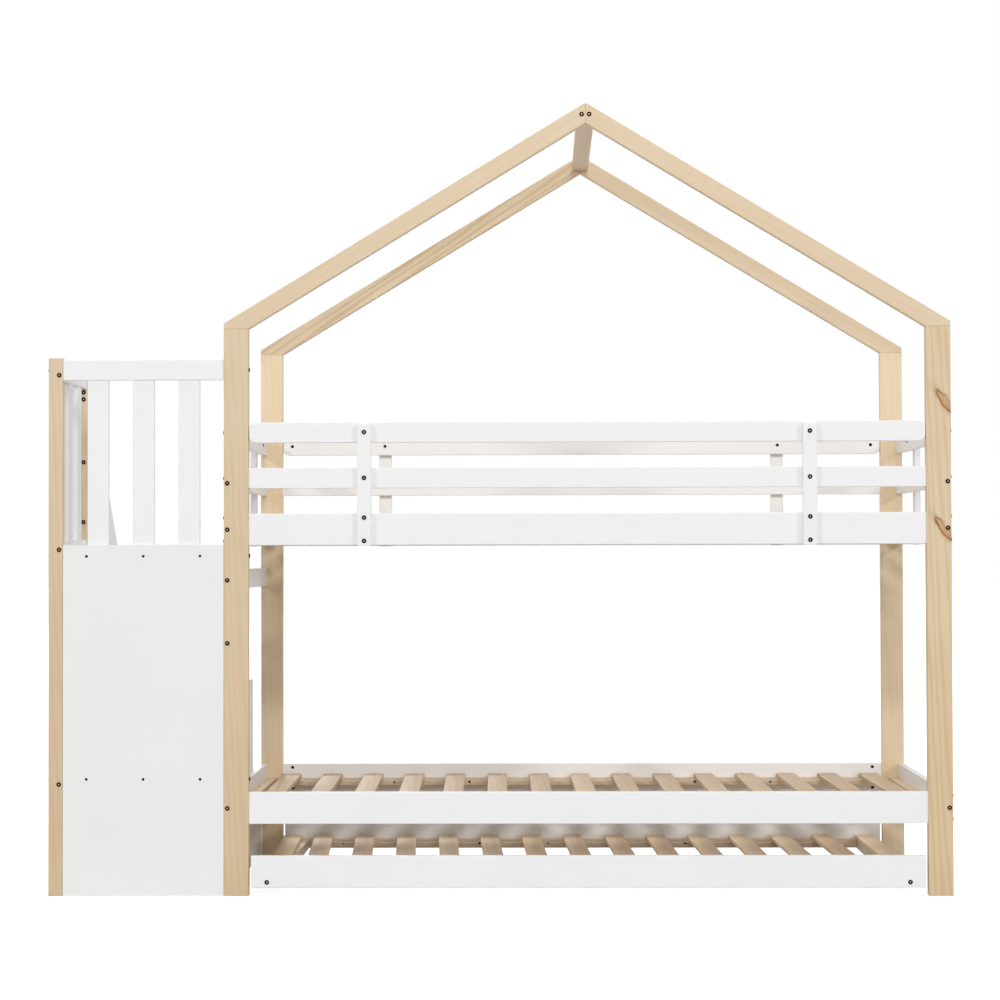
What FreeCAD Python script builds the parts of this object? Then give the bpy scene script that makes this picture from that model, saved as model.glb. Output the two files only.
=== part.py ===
import FreeCAD
import Part
import Sketcher
import math
import os
import re

os.makedirs("parts", exist_ok=True)

doc = FreeCAD.newDocument("house_bunk_bed")
sheet = doc.addObject("Spreadsheet::Sheet", "Sizes")
V = FreeCAD.Vector

# Driving sizes in millimetres, one row each: alias, value, meaning
SIZES = (
    ("bed_length", 2065, "length over the bed posts"),
    ("rail_spacing", 910, "clear width between the long rails"),
    ("post_width", 70, "bed post along the bed"),
    ("post_depth", 30, "bed post across the bed"),
    ("eave_height", 1612, "top of the bed posts"),
    ("rafter_width", 50, "rafter square to its length"),
    ("roof_pitch", 31.25, "rafter slope in degrees"),
    ("ridge_width", 50, "ridge bar along the bed"),
    ("ridge_height", 30, "ridge bar depth"),
    ("ridge_rise", 10, "ridge bar above the inner apex"),
    ("rail_thickness", 20, "all painted rails"),
    ("guard_rail_height", 58, "guard rails"),
    ("bed_rail_height", 90, "bed side rails"),
    ("guard_end_round", 19, "rounded corners of the top guard rails"),
    ("guard_end_gap", 1, "top guard rail to post"),
    ("edge_ease", 2, "eased long edges of boards"),
    ("end_ease", 0.8, "broken end edges of boards"),
    ("guard_top_level", 1316, "centre of the top guard rails"),
    ("guard_middle_level", 1186, "centre of the middle guard rails"),
    ("upper_rail_level", 1040, "centre of the upper bed rails"),
    ("lower_rail_level", 249, "centre of the lower bed rails"),
    ("strap_width", 40, "guard strap"),
    ("strap_thickness", 18, "guard strap"),
    ("strap_length", 345, "guard strap"),
    ("strap_level", 1166, "centre of the guard straps"),
    ("strap_inset", 330.5, "long side straps from the post"),
    ("right_strap_offset", 212, "right end straps from the end centre"),
    ("left_strap_offset", 127, "left end straps from the short guard centre"),
    ("entry_width", 422, "opening in the left end guard"),
    ("ledger_width", 30, "slat ledgers"),
    ("ledger_height", 24, "slat ledgers"),
    ("slat_width", 60, "slats"),
    ("slat_thickness", 12, "slats"),
    ("slat_first", 38.5, "first slat centre from the post"),
    ("slat_count", 15, "slats per bed"),
    ("slat_end_gap", 5, "slat end to rail"),
    ("slat_drop", 32, "rail top to slat top"),
    ("trundle_side_gap", 6.5, "trundle board end to post"),
    ("trundle_board_height", 91, "trundle boards"),
    ("trundle_floor_gap", 23, "under the trundle boards"),
    ("trundle_rail_width", 70, "flat end rail of the trundle"),
    ("trundle_rail_depth", 30, "flat end rail of the trundle"),
    ("trundle_rail_inset", 45, "end rail centre from the board end"),
    ("caster_height", 24, "floor to end rail"),
    ("caster_inset", 165, "wheel centre from the trundle board"),
    ("caster_plate", 2, "caster steel thickness"),
    ("caster_plate_length", 62, "caster plate across the end rail"),
    ("caster_plate_width", 34, "caster plate along the end rail"),
    ("cheek_width", 14, "caster cheek"),
    ("wheel_diameter", 20, "caster wheel"),
    ("wheel_width", 20, "caster wheel"),
    ("wheel_crown", 2, "rounded wheel rim"),
    ("wheel_side_gap", 0.5, "wheel to cheek"),
    ("axle_diameter", 5, "caster axle"),
    ("axle_gap", 0.4, "axle to wheel bore"),
    ("axle_head", 8, "axle rivet head"),
    ("axle_head_thickness", 1.2, "axle rivet head"),
    ("stair_width", 500, "stair unit beside the bed"),
    ("stair_post_width", 40, "stair post along the bed"),
    ("stair_post_height", 1530, "stair guard posts"),
    ("stair_rail_level", 1496, "centre of the stair top rails"),
    ("stair_side_level", 984, "centre of the lower side guard rail"),
    ("stair_foot_level", 317, "centre of the lowest side rail"),
    ("cross_rail_inset", 32, "upper cross rail centre from the panel top"),
    ("cross_rail_spacing", 634, "between the cross rail centres"),
    ("cross_rail_setback", 3, "cross rails behind the post centre"),
    ("panel_height", 996, "stair back panel"),
    ("panel_thickness", 6, "stair back panel"),
    ("panel_side_gap", 0.5, "back panel to posts"),
    ("panel_floor_gap", 1, "back panel to floor"),
    ("panel_screw_pitch", 162, "back panel screws"),
    ("baluster_width", 61, "stair guard balusters"),
    ("baluster_thickness", 15, "stair guard balusters"),
    ("middle_post_setback", 373, "second stair post from the front face"),
    ("handrail_pitch", 46, "handrail slope in degrees"),
    ("handrail_level", 1457, "handrail centre at the second post"),
    ("slope_middle_level", 1247, "middle sloping rail at the second post"),
    ("slope_low_level", 1067, "low sloping rail at the second post"),
    ("newel_rise", 6, "rear stair post above the handrail"),
    ("step_rise", 290, "height of one step"),
    ("step_going", 250, "depth of the upper step"),
    ("landing_depth", 457, "landing edge from the front face"),
    ("tread_thickness", 18, "treads"),
    ("side_panel_thickness", 15, "stepped side panels"),
    ("tie_upper_level", 896, "full tie rail at the left end"),
    ("tie_lower_level", 717, "short tie rail at the left end"),
    ("tie_short_length", 400, "short tie rail"),
    ("bolt_diameter", 6, "connecting bolts"),
    ("bolt_hole_gap", 0.5, "bolt hole over bolt"),
    ("bolt_head", 13, "bolt head"),
    ("bolt_head_height", 3.2, "bolt head"),
    ("bolt_socket", 4, "hexagon socket across flats"),
    ("bolt_socket_depth", 2, "hexagon socket"),
    ("bolt_bite", 45, "bolt beyond the post"),
    ("bolt_hole_extra", 3, "hole beyond the bolt"),
    ("bolt_pair_half", 33, "pair of bolts from the rail centre"),
    ("guard_bolt_drop", 14, "end guard bolts below the rail centre"),
    ("handrail_bolt_gap", 21, "between the handrail bolts"),
    ("ridge_bolt_half", 10.6, "ridge bolts from the mitre"),
    ("nut_diameter", 10, "barrel nuts"),
    ("nut_length", 13, "barrel nuts"),
    ("nut_gap", 0.3, "barrel nut hole over nut"),
    ("nut_inset", 31, "barrel nut from the rail end"),
    ("cap_diameter", 9, "nuts of the strap bolts"),
    ("cap_thickness", 2.5, "nuts of the strap bolts"),
    ("screw_diameter", 4, "wood screws"),
    ("screw_head", 8, "wood screws"),
    ("screw_head_height", 1.2, "wood screws"),
    ("screw_bite", 12, "wood screw beyond the first board"),
    ("ledger_screw_count", 8, "screws in one long ledger"),
)

# Positions that follow from the sizes
DERIVED = (
    ("bed_mid_x", "(stair_width - strap_thickness) / 2"),
    ("post_x", "(bed_length - post_width) / 2"),
    ("post_y", "(rail_spacing + rail_thickness) / 2"),
    ("end_x", "(bed_length - rail_thickness) / 2"),
    ("depth_half", "post_y + post_depth / 2"),
    ("rail_length", "bed_length - 2 * post_width"),
    ("end_length", "2 * post_y - post_depth"),
    ("trundle_length", "rail_length - 2 * trundle_side_gap"),
    ("slat_pitch", "(rail_length - 2 * slat_first) / (slat_count - 1)"),
    ("strap_offset", "rail_length / 2 - strap_inset"),
    ("cross_rail_level", "panel_floor_gap + panel_height - cross_rail_inset"),
    ("cross_foot_level", "cross_rail_level - cross_rail_spacing"),
    ("entry_length", "end_length - entry_width"),
    ("entry_y", "entry_width / 2"),
    ("rafter_depth", "rafter_width / cos(roof_pitch)"),
    ("eave_face", "rafter_depth - post_width * tan(roof_pitch)"),
    ("apex_height", "eave_height + eave_face + bed_length / 2 * tan(roof_pitch)"),
    ("ridge_level", "apex_height - rafter_depth + ridge_rise + ridge_height / 2"),
    ("left_x", "bed_mid_x - bed_length / 2"),
    ("stair_post_x", "left_x - stair_width + stair_post_width / 2"),
    ("stair_rail_length", "stair_width - stair_post_width"),
    ("stair_rail_x", "left_x - stair_rail_length / 2"),
    ("side_rail_x", "stair_post_x + stair_post_width / 2 - rail_thickness / 2"),
    ("middle_post_y", "middle_post_setback - depth_half + post_depth / 2"),
    ("side_length", "middle_post_setback - post_depth"),
    ("side_y", "post_depth - depth_half + side_length / 2"),
    ("slope_start", "middle_post_setback + post_depth - depth_half"),
    ("slope_end", "depth_half - post_depth"),
    ("slope_fall", "(slope_end - slope_start) * tan(handrail_pitch)"),
    ("handrail_half", "bed_rail_height / cos(handrail_pitch) / 2"),
    ("slope_half", "guard_rail_height / cos(handrail_pitch) / 2"),
    ("newel_height", "handrail_level + handrail_half - slope_fall + newel_rise"),
    ("cross_y", "cross_rail_setback - post_y"),
    ("upper_slat_top", "upper_rail_level + bed_rail_height / 2 - slat_drop"),
    ("lower_slat_top", "lower_rail_level + bed_rail_height / 2 - slat_drop"),
    ("trundle_slat_top", "caster_height + trundle_rail_depth + slat_thickness"),
    ("trundle_rail_x", "trundle_length / 2 - trundle_rail_inset"),
    ("trundle_rail_level", "caster_height + trundle_rail_depth / 2"),
    ("slat_length", "rail_spacing - 2 * slat_end_gap"),
    ("caster_y", "rail_spacing / 2 - caster_inset"),
    ("wheel_half_gap", "wheel_width / 2 + wheel_side_gap"),
    ("bolt_hole", "bolt_diameter + bolt_hole_gap"),
    ("nut_hole", "nut_diameter + nut_gap"),
    ("screw_hole", "screw_diameter + bolt_hole_gap"),
    ("bite_hole", "bolt_bite + bolt_hole_extra"),
    ("rail_face", "rail_thickness / 2"),
    ("strap_y", "post_y + rail_face + strap_thickness / 2"),
    ("strap_x", "end_x + rail_face + strap_thickness / 2"),
    ("ledger_y", "rail_spacing / 2 - ledger_width / 2"),
    ("ledger_x", "end_x - rail_face - ledger_width / 2"),
    ("pilot_depth", "screw_bite + bolt_hole_extra"),
    ("nut_depth", "rail_face + nut_length / 2 + nut_gap"),
)

for row, (alias, size, meaning) in enumerate(SIZES, start=1):
    sheet.set("A%d" % row, alias)
    sheet.set("B%d" % row, str(size))
    sheet.set("C%d" % row, meaning)
    sheet.setAlias("B%d" % row, alias)
for row, (alias, formula) in enumerate(DERIVED, start=len(SIZES) + 1):
    sheet.set("A%d" % row, alias)
    sheet.set("B%d" % row, "=" + formula)
    sheet.setAlias("B%d" % row, alias)
doc.recompute()

ALIASES = {row[0] for row in SIZES} | {row[0] for row in DERIVED}
NODES = {}


def bind(text):
    """Point each alias in an expression at the sheet."""
    return re.sub(
        r"[a-z][a-z_]+",
        lambda m: "Sizes." + m.group(0) if m.group(0) in ALIASES else m.group(0),
        text,
    )


def value(text):
    """Number that an expression gives at the present sizes."""
    return float(sheet.evalExpression(bind(text)))


def origin_part(body, role):
    """Plane or axis of a body's own origin."""
    return [f for f in body.Origin.OriginFeatures if f.Role == role][0]


def new_body(name, at):
    """Body whose origin sits at the given expressions."""
    body = doc.addObject("PartDesign::Body", name)
    for axis, text in zip("xyz", at):
        body.setExpression("Placement.Base." + axis, bind(text))
    return body


def new_sketch(body, plane, offset=None):
    """Sketch on one of the body's origin planes."""
    sketch = body.newObject("Sketcher::SketchObject", body.Name + "_sketch")
    sketch.AttachmentSupport = [(origin_part(body, plane + "_Plane"), "")]
    sketch.MapMode = "FlatFace"
    if offset:
        sketch.setExpression("AttachmentOffset.Base.z", bind(offset))
    return sketch


def rounded_outline(sketch, wide, tall, ease):
    """Rectangle with rounded corners, centred on the sketch origin."""
    a = value(wide) / 2
    c = value(tall) / 2
    r = value(ease)
    line = Part.LineSegment
    up = V(0, 0, 1)
    quarter = math.pi / 2
    corners = ((a - r, r - c), (a - r, c - r), (r - a, c - r), (r - a, r - c))
    shapes = [
        line(V(r - a, -c, 0), V(a - r, -c, 0)),
        line(V(a, r - c, 0), V(a, c - r, 0)),
        line(V(a - r, c, 0), V(r - a, c, 0)),
        line(V(-a, c - r, 0), V(-a, r - c, 0)),
    ]
    for turn, (x, y) in enumerate(corners, start=-1):
        circle = Part.Circle(V(x, y, 0), up, r)
        shapes.append(Part.ArcOfCircle(circle, turn * quarter, (turn + 1) * quarter))
    sketch.addGeometry(shapes, False)
    rule = Sketcher.Constraint
    rules = []
    for side in range(4):
        rules.append(rule("Tangent", side, 2, side + 4, 1))
        rules.append(rule("Tangent", side + 4, 2, (side + 1) % 4, 1))
    rules += [rule("Horizontal", 0), rule("Vertical", 1), rule("Horizontal", 2), rule("Vertical", 3)]
    rules += [rule("Equal", 4, 5), rule("Equal", 4, 6), rule("Equal", 4, 7)]
    rules.append(rule("Symmetric", 4, 3, 6, 3, -1, 1))
    sketch.addConstraint(rules)
    for text, made in (
        (wide, rule("DistanceX", 3, 1, 1, 1, 2 * a)),
        (tall, rule("DistanceY", 0, 1, 2, 1, 2 * c)),
        (ease, rule("Radius", 4, r)),
    ):
        sketch.setExpression("Constraints[%d]" % sketch.addConstraint(made), bind(text))


def polygon_outline(sketch, corners):
    """Closed polygon whose corners are pairs of expressions."""
    points = [V(value(x), value(y), 0) for x, y in corners]
    count = len(points)
    rule = Sketcher.Constraint
    for i in range(count):
        sketch.addGeometry(Part.LineSegment(points[i], points[(i + 1) % count]), False)
    for i in range(count):
        sketch.addConstraint(rule("Coincident", i, 2, (i + 1) % count, 1))
    for i, pair in enumerate(corners):
        for kind, axis, text in (("DistanceX", -2, pair[0]), ("DistanceY", -1, pair[1])):
            if text == "0":
                sketch.addConstraint(rule("PointOnObject", i, 1, axis))
                continue
            number = sketch.addConstraint(rule(kind, -1, 1, i, 1, value(text)))
            sketch.setExpression("Constraints[%d]" % number, bind(text))


def pad(body, sketch, length):
    """Pad both ways from the sketch plane."""
    made = body.newObject("PartDesign::Pad", body.Name + "_pad")
    made.Profile = sketch
    made.SideType = "Symmetric"
    made.setExpression("Length", bind(length))
    sketch.Visibility = False
    return made


def drill(body, plane, holes, side=0, span=None, depth=None, both=False):
    """Round holes: through the board, or blind from the face on one side."""
    if not holes:
        return
    offset = None
    if side:
        offset = "%s(%s) / 2" % ("" if side > 0 else "-", span)
    sketch = new_sketch(body, plane, offset)
    rule = Sketcher.Constraint
    for x, y, wide in holes:
        centre = V(value(x), value(y), 0)
        ring = sketch.addGeometry(Part.Circle(centre, V(0, 0, 1), value(wide) / 2), False)
        for kind, axis, text in (("DistanceX", -2, x), ("DistanceY", -1, y)):
            if text == "0":
                sketch.addConstraint(rule("PointOnObject", ring, 3, axis))
                continue
            number = sketch.addConstraint(rule(kind, -1, 1, ring, 3, value(text)))
            sketch.setExpression("Constraints[%d]" % number, bind(text))
        number = sketch.addConstraint(rule("Diameter", ring, value(wide)))
        sketch.setExpression("Constraints[%d]" % number, bind(wide))
    cut = body.newObject("PartDesign::Pocket", body.Name + "_holes")
    cut.Profile = sketch
    sketch.Visibility = False
    if side:
        cut.Type = "Length"
        cut.Reversed = side < 0
        cut.setExpression("Length", bind(depth))
    else:
        cut.Type = "ThroughAll"
        cut.SideType = "Symmetric"
    if both:
        copy = body.newObject("PartDesign::Mirrored", body.Name + "_far_holes")
        copy.Originals = [cut]
        copy.MirrorPlane = (origin_part(body, plane + "_Plane"), [""])
        body.Tip = copy


def ease_edges(body, made, radius, axis=None):
    """Round all edges of a pad, or with an axis only those of its two end faces."""
    doc.recompute()
    picked = []
    for number, edge in enumerate(made.Shape.Edges, start=1):
        box = edge.BoundBox
        span = {"x": box.XLength, "y": box.YLength, "z": box.ZLength}
        if axis is None or span[axis] < value(radius):
            picked.append("Edge%d" % number)
    rounded = body.newObject("PartDesign::Fillet", body.Name + "_ease")
    rounded.Base = (made, picked)
    rounded.setExpression("Radius", bind(radius))


SECTION = {"x": "YZ", "y": "XZ", "z": "XY"}


def board(name, axis, at, length, wide, tall, ease="edge_ease", ends="end_ease"):
    """Straight board with eased long edges, centred on its own origin."""
    body = new_body(name, at)
    sketch = new_sketch(body, SECTION[axis])
    rounded_outline(sketch, wide, tall, ease)
    made = pad(body, sketch, length)
    if ends:
        ease_edges(body, made, ends, axis)
    return body


def node(name, bodies):
    """Name a node and keep it for export; several bodies become one group."""
    if len(bodies) == 1:
        NODES[name] = bodies[0]
        bodies[0].Label = name
        return
    group = doc.addObject("Part::Compound", name + "_group")
    group.Links = bodies
    group.Label = name
    NODES[name] = group


# Fastener places: head point, direction, and for nuts the bore and length directions
LONG_BOLTS = []
SHORT_BOLTS = []
STRAP_BOLTS = []
TRUNDLE_BOLTS = []
SCREWS = []
TRUNDLE_SCREWS = []
NUTS = []
TRUNDLE_NUTS = []

END_LEVELS = ("guard_middle_level - guard_bolt_drop", "upper_rail_level", "lower_rail_level")
SIDE_LEVELS = (
    "guard_top_level",
    "guard_middle_level",
    "upper_rail_level - bolt_pair_half",
    "upper_rail_level + bolt_pair_half",
    "lower_rail_level - bolt_pair_half",
    "lower_rail_level + bolt_pair_half",
)
STAIR_LEVELS = (("stair_rail_level", "0"), ("cross_rail_level", "1"), ("cross_foot_level", "1"))

# Bed posts, drilled for the long rails, the end rails and the stair rails
for end, sx in (("left", "-"), ("right", "")):
    for edge, sy in (("front", "-"), ("rear", "")):
        at_x = "bed_mid_x + %s(post_x)" % (sx or "1 * ")
        body = board(
            "%s_%s_post" % (edge, end),
            "z",
            (at_x, "%spost_y" % sy, "eave_height / 2"),
            "eave_height",
            "post_width",
            "post_depth",
        )
        along = [("0", level + " - eave_height / 2", "bolt_hole") for level in SIDE_LEVELS]
        levels = list(END_LEVELS)
        if end == "left":
            levels.append("tie_upper_level")
            if edge == "front":
                levels.append("tie_lower_level")
                for level, back in STAIR_LEVELS:
                    shift = "0" if back == "0" else "cross_rail_setback"
                    along.append((shift, level + " - eave_height / 2", "bolt_hole"))
        drill(body, "YZ", along)
        offset = "%s(end_x - post_x)" % (sx or "1 * ")
        drill(body, "XZ", [(offset, level + " - eave_height / 2", "bolt_hole") for level in levels])
        node("%s_%s_post" % (edge, end), [body])
        out = -1 if end == "left" else 1
        for level in SIDE_LEVELS:
            head = ("bed_mid_x + %d * bed_length / 2" % out, "%spost_y" % sy, level)
            LONG_BOLTS.append((head, (-out, 0, 0)))
        back = -1 if edge == "front" else 1
        for level in levels:
            head = ("bed_mid_x + %d * end_x" % out, "%d * depth_half" % back, level)
            SHORT_BOLTS.append((head, (0, -back, 0)))

# Rafters, seated on the posts and mitred at the apex, with the ridge bar between the pairs
for edge, sy in (("front", "-"), ("rear", "")):
    for end, side in (("left", -1), ("right", 1)):
        name = "%s_%s_rafter" % (edge, end)
        body = new_body(name, ("bed_mid_x", "%spost_y" % sy, "0"))
        sketch = new_sketch(body, "XZ")
        outer = "%d * bed_length / 2" % side
        inner = "%d * (bed_length / 2 - post_width)" % side
        polygon_outline(
            sketch,
            (
                (outer, "eave_height"),
                (inner, "eave_height"),
                ("0", "apex_height - rafter_depth"),
                ("0", "apex_height"),
                (outer, "eave_height + eave_face"),
            ),
        )
        ease_edges(body, pad(body, sketch, "post_depth"), "edge_ease")
        drill(body, "XZ", [("%d * ridge_bolt_half" % side, "ridge_level", "bolt_hole")])
        node(name, [body])
        back = -1 if edge == "front" else 1
        head = ("bed_mid_x + %d * ridge_bolt_half" % side, "%d * depth_half" % back, "ridge_level")
        SHORT_BOLTS.append((head, (0, -back, 0)))
ridge = board(
    "ridge_bar", "y", ("bed_mid_x", "0", "ridge_level"), "end_length", "ridge_width", "ridge_height"
)
ridge_holes = [("ridge_bolt_half", "0", "bolt_hole"), ("-ridge_bolt_half", "0", "bolt_hole")]
drill(ridge, "XZ", ridge_holes, 1, "end_length", "bite_hole", True)
node("ridge_bar", [ridge])

SCREW_COUNT = int(value("ledger_screw_count"))


def screw_spot(number, span):
    """Place of one ledger screw along a ledger centred on its own middle."""
    return "((2 * %d + 1) / ledger_screw_count - 1) / 2 * (%s)" % (number, span)


# Long rails of both bunks, with barrel nut holes opening on the inner face
STRAP_GUARD = ("0",)
STRAP_BED = ("-bolt_pair_half", "bolt_pair_half")
for edge, side in (("front", -1), ("rear", 1)):
    for name, level, tall, pairs, straps, bunk in (
        ("top_rail", "guard_top_level", "guard_rail_height", ("0",), STRAP_GUARD, None),
        ("middle_rail", "guard_middle_level", "guard_rail_height", ("0",), STRAP_GUARD, None),
        ("bed_rail", "upper_rail_level", "bed_rail_height", STRAP_BED, STRAP_BED, "upper"),
        ("lower_rail", "lower_rail_level", "bed_rail_height", STRAP_BED, (), "lower"),
    ):
        label = "%s_%s" % (edge, name)
        place = ("bed_mid_x", "%d * post_y" % side, level)
        if name == "top_rail":
            body = new_body(label, place)
            sketch = new_sketch(body, "XZ")
            rounded_outline(sketch, "rail_length - 2 * guard_end_gap", tall, "guard_end_round")
            ease_edges(body, pad(body, sketch, "rail_thickness"), "edge_ease", "y")
        else:
            body = board(label, "x", place, "rail_length", "rail_thickness", tall)
        drill(body, "YZ", [("0", z, "bolt_hole") for z in pairs], 1, "rail_length", "bite_hole", True)
        far = "rail_length / 2 - nut_inset"
        nuts = []
        for z in pairs:
            nuts += [(far, z, "nut_hole"), ("-(%s)" % far, z, "nut_hole")]
            for end in (-1, 1):
                spot = (
                    "bed_mid_x + %d * (%s)" % (end, far),
                    "%d * post_y" % side,
                    "%s + %s" % (level, z),
                )
                NUTS.append((spot, (1, 0, 0), (0, 1, 0)))
        drill(body, "XZ", nuts, side, "rail_thickness", "nut_depth")
        holes = []
        for z in straps:
            holes += [("strap_offset", z, "bolt_hole"), ("-strap_offset", z, "bolt_hole")]
        drill(body, "XZ", holes)
        if bunk:
            low = "%s_slat_top - slat_thickness - ledger_height / 2 - %s" % (bunk, level)
            spots = [(screw_spot(n, "rail_length"), low, "screw_hole") for n in range(SCREW_COUNT)]
            drill(body, "XZ", spots, side, "rail_thickness", "pilot_depth")
        node(label, [body])

# End rails; the short top rail at the left end leaves the way in from the stair
for end, side in (("left", -1), ("right", 1)):
    for name, level, tall, drop, straps in (
        ("top_rail", "guard_top_level", "guard_rail_height", None, STRAP_GUARD),
        ("middle_rail", "guard_middle_level", "guard_rail_height", "-guard_bolt_drop", STRAP_GUARD),
        ("bed_rail", "upper_rail_level", "bed_rail_height", "0", STRAP_BED),
        ("lower_rail", "lower_rail_level", "bed_rail_height", "0", ()),
    ):
        label = "%s_%s" % (end, name)
        short = end == "left" and name == "top_rail"
        length = "entry_length" if short else "end_length"
        place = ("bed_mid_x + %d * end_x" % side, "entry_y" if short else "0", level)
        if name == "top_rail":
            body = new_body(label, place)
            sketch = new_sketch(body, "YZ")
            rounded_outline(sketch, length + " - 2 * guard_end_gap", tall, "guard_end_round")
            ease_edges(body, pad(body, sketch, "rail_thickness"), "edge_ease", "x")
        else:
            body = board(label, "y", place, length, "rail_thickness", tall)
        if drop:
            drill(body, "XZ", [("0", drop, "bolt_hole")], 1, length, "bite_hole", True)
            far = "end_length / 2 - nut_inset"
            spots = [(far, drop, "nut_hole"), ("-(%s)" % far, drop, "nut_hole")]
            drill(body, "YZ", spots, -side, "rail_thickness", "nut_depth")
            for way in (-1, 1):
                spot = (
                    "bed_mid_x + %d * end_x" % side,
                    "%d * (%s)" % (way, far),
                    "%s + %s" % (level, drop),
                )
                NUTS.append((spot, (0, 1, 0), (1, 0, 0)))
        offset = "left_strap_offset" if end == "left" else "right_strap_offset"
        own = "0" if short or end == "right" else "entry_y"
        holes = []
        for z in straps:
            for way in (-1, 1):
                holes.append(("%s + %d * %s" % (own, way, offset), z, "bolt_hole"))
        drill(body, "YZ", holes)
        node(label, [body])

# Tie rails that join the stair to the left end of the bed
ties = []
for label, level, length, mid_y in (
    ("stair_tie_upper", "tie_upper_level", "end_length", "0"),
    ("stair_tie_lower", "tie_lower_level", "tie_short_length", "(tie_short_length - end_length) / 2"),
):
    body = board(
        label,
        "y",
        ("bed_mid_x - end_x", mid_y, level),
        length,
        "rail_thickness",
        "guard_rail_height",
    )
    both = label == "stair_tie_upper"
    drill(body, "XZ", [("0", "0", "bolt_hole")], 1, length, "bite_hole", both)
    ties.append(body)
node("stair_tie_rails", ties)

# Guard straps on the outer faces of the rails
straps = []
STRAP_LEVELS = (
    "guard_top_level",
    "guard_middle_level",
    "upper_rail_level + bolt_pair_half",
    "upper_rail_level - bolt_pair_half",
)
strap_holes = [("0", level + " - strap_level", "bolt_hole") for level in STRAP_LEVELS]
for side in (-1, 1):
    for way in (-1, 1):
        place = ("bed_mid_x + %d * strap_offset" % way, "%d * strap_y" % side, "strap_level")
        body = board("side_strap", "z", place, "strap_length", "strap_width", "strap_thickness")
        drill(body, "XZ", strap_holes)
        straps.append(body)
        for level in STRAP_LEVELS:
            head = (place[0], "%d * (strap_y + strap_thickness / 2)" % side, level)
            STRAP_BOLTS.append((head, (0, -side, 0)))
for side, offset, middle in ((-1, "left_strap_offset", "entry_y"), (1, "right_strap_offset", "0")):
    for way in (-1, 1):
        place_y = "%s + %d * %s" % (middle, way, offset)
        place = ("bed_mid_x + %d * strap_x" % side, place_y, "strap_level")
        body = board("end_strap", "z", place, "strap_length", "strap_thickness", "strap_width")
        drill(body, "YZ", strap_holes)
        straps.append(body)
        for level in STRAP_LEVELS:
            head = ("bed_mid_x + %d * (strap_x + strap_thickness / 2)" % side, place_y, level)
            STRAP_BOLTS.append((head, (-side, 0, 0)))
node("guard_straps", straps)

# Ledgers inside the rails of both bunks, and the slats that lie on them
for bunk in ("upper", "lower"):
    level = "%s_slat_top - slat_thickness - ledger_height / 2" % bunk
    ledgers = []
    for side in (-1, 1):
        place = ("bed_mid_x", "%d * ledger_y" % side, level)
        body = board(bunk + "_side_ledger", "x", place, "rail_length", "ledger_width", "ledger_height")
        holes = []
        for number in range(SCREW_COUNT):
            spot = screw_spot(number, "rail_length")
            holes.append((spot, "0", "screw_hole"))
            head = ("bed_mid_x + " + spot, "%d * (ledger_y - ledger_width / 2)" % side, level)
            SCREWS.append((head, (0, side, 0), "ledger_width"))
        drill(body, "XZ", holes)
        ledgers.append(body)
        place = ("bed_mid_x + %d * ledger_x" % side, "0", level)
        ledgers.append(
            board(bunk + "_end_ledger", "y", place, "end_length", "ledger_width", "ledger_height")
        )
    node(bunk + "_ledgers", ledgers)


def slat_row(name, level, count):
    """Row of slats across a bed, repeated along it."""
    start = "bed_mid_x - (%s - 1) / 2 * slat_pitch" % count
    body = new_body(name, (start, "0", level + " - slat_thickness / 2"))
    sketch = new_sketch(body, "XZ")
    rounded_outline(sketch, "slat_width", "slat_thickness", "edge_ease")
    first = pad(body, sketch, "slat_length")
    row = body.newObject("PartDesign::LinearPattern", name + "_row")
    row.Originals = [first]
    row.Direction = (origin_part(body, "X_Axis"), [""])
    row.setExpression("Length", bind("(%s - 1) * slat_pitch" % count))
    row.setExpression("Occurrences", bind(count))
    body.Tip = row
    return body


for bunk in ("upper", "lower"):
    node(bunk + "_slats", [slat_row(bunk + "_slats", bunk + "_slat_top", "slat_count")])

# Trundle slats: the inner ones lie on the ledgers, the end ones on the end rails
trundle_slats = [slat_row("trundle_inner_slats", "trundle_slat_top", "(slat_count - 2)")]
for way in (-1, 1):
    place = (
        "bed_mid_x + %d * trundle_rail_x" % way,
        "0",
        "trundle_slat_top - slat_thickness / 2",
    )
    trundle_slats.append(
        board("trundle_end_slat", "y", place, "slat_length", "slat_width", "slat_thickness")
    )
node("trundle_slats", trundle_slats)

# Trundle: two long boards, flat end rails, ledgers and casters
board_level = "trundle_floor_gap + trundle_board_height / 2"
for edge, side in (("near", -1), ("far", 1)):
    label = "trundle_%s_board" % edge
    place = ("bed_mid_x", "%d * post_y" % side, board_level)
    body = board(label, "x", place, "trundle_length", "rail_thickness", "trundle_board_height")
    low = "trundle_rail_level - (%s)" % board_level
    holes = [("trundle_rail_x", low, "bolt_hole"), ("-trundle_rail_x", low, "bolt_hole")]
    drill(body, "XZ", holes)
    inner = "2 * trundle_rail_x - trundle_rail_width"
    low = "trundle_slat_top - slat_thickness - ledger_height / 2 - (%s)" % board_level
    spots = [(screw_spot(n, inner), low, "screw_hole") for n in range(SCREW_COUNT)]
    drill(body, "XZ", spots, side, "rail_thickness", "pilot_depth")
    node(label, [body])
    for way in (-1, 1):
        head = (
            "bed_mid_x + %d * trundle_rail_x" % way,
            "%d * (post_y + rail_face)" % side,
            "trundle_rail_level",
        )
        TRUNDLE_BOLTS.append((head, (0, -side, 0)))
end_rails = []
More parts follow.
